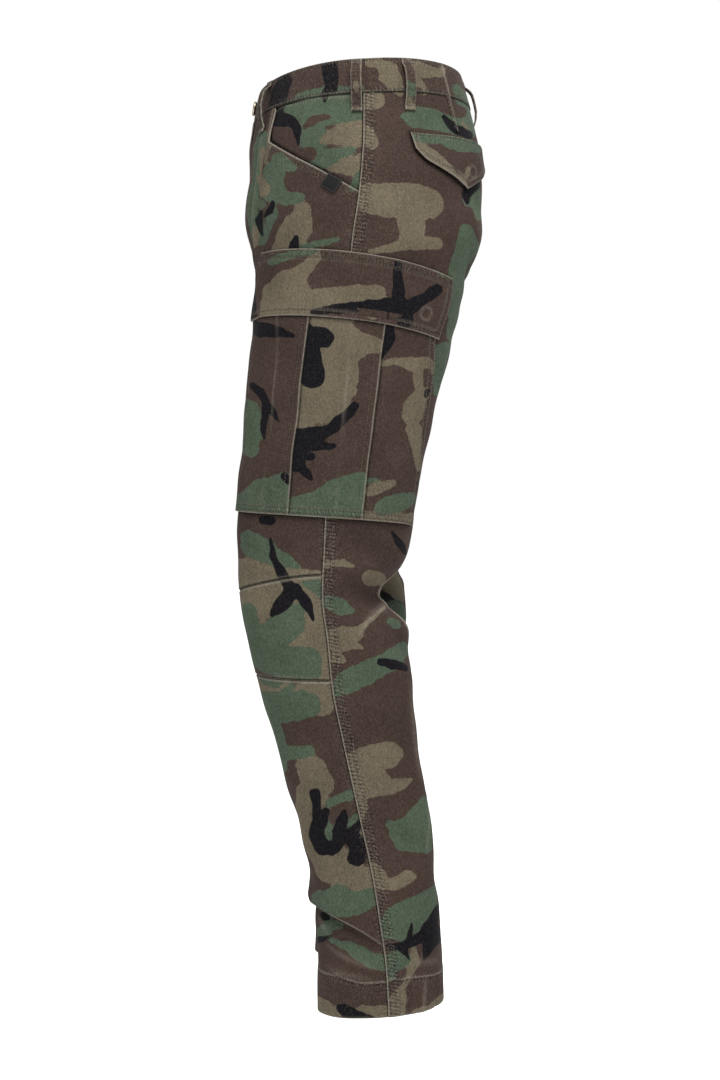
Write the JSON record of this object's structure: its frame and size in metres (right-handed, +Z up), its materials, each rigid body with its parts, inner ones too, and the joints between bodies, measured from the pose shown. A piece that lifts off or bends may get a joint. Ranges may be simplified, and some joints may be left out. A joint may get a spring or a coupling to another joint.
{
  "type": "cargo pants",
  "caption": "Straight-leg camouflage cotton cargo trousers in worn shape, open at waist and hems, with flapped pleated thigh pockets.",
  "frame": {"origin": "middle of the waist opening, level with the waistband's top edge at the side seams", "axes": "+Z up along the legs towards the waist, front of the garment towards -Y, the wearer's left towards +X"},
  "size_m": [0.3948, 0.2848, 1.067],
  "materials": {
    "camo_cloth": "washed cotton twill in a four-colour woodland camouflage",
    "black_tab": "smooth black woven tape",
    "button_metal": "dull nickel, worn"
  },
  "bodies": {
    "root": {"front_left": "camo_cloth", "back_left": "camo_cloth", "hip_patch_left": "camo_cloth", "waistband_left": "camo_cloth", "cargo_pocket_left": "camo_cloth", "cargo_flap_left": "camo_cloth", "back_flap_left": "camo_cloth", "back_dart_left": "camo_cloth", "front_right": "camo_cloth", "back_right": "camo_cloth", "hip_patch_right": "camo_cloth", "waistband_right": "camo_cloth", "cargo_pocket_right": "camo_cloth", "cargo_flap_right": "camo_cloth", "back_flap_right": "camo_cloth", "back_dart_right": "camo_cloth", "belt_loop_front_left": "camo_cloth", "belt_loop_front_right": "camo_cloth", "belt_loop_side_left": "camo_cloth", "belt_loop_side_right": "camo_cloth", "belt_loop_back_left": "camo_cloth", "belt_loop_back_right": "camo_cloth", "belt_loop_centre_back": "camo_cloth", "fly_placket": "camo_cloth", "pocket_tab": "black_tab", "waist_button": "button_metal"}
  },
  "joints": []
}
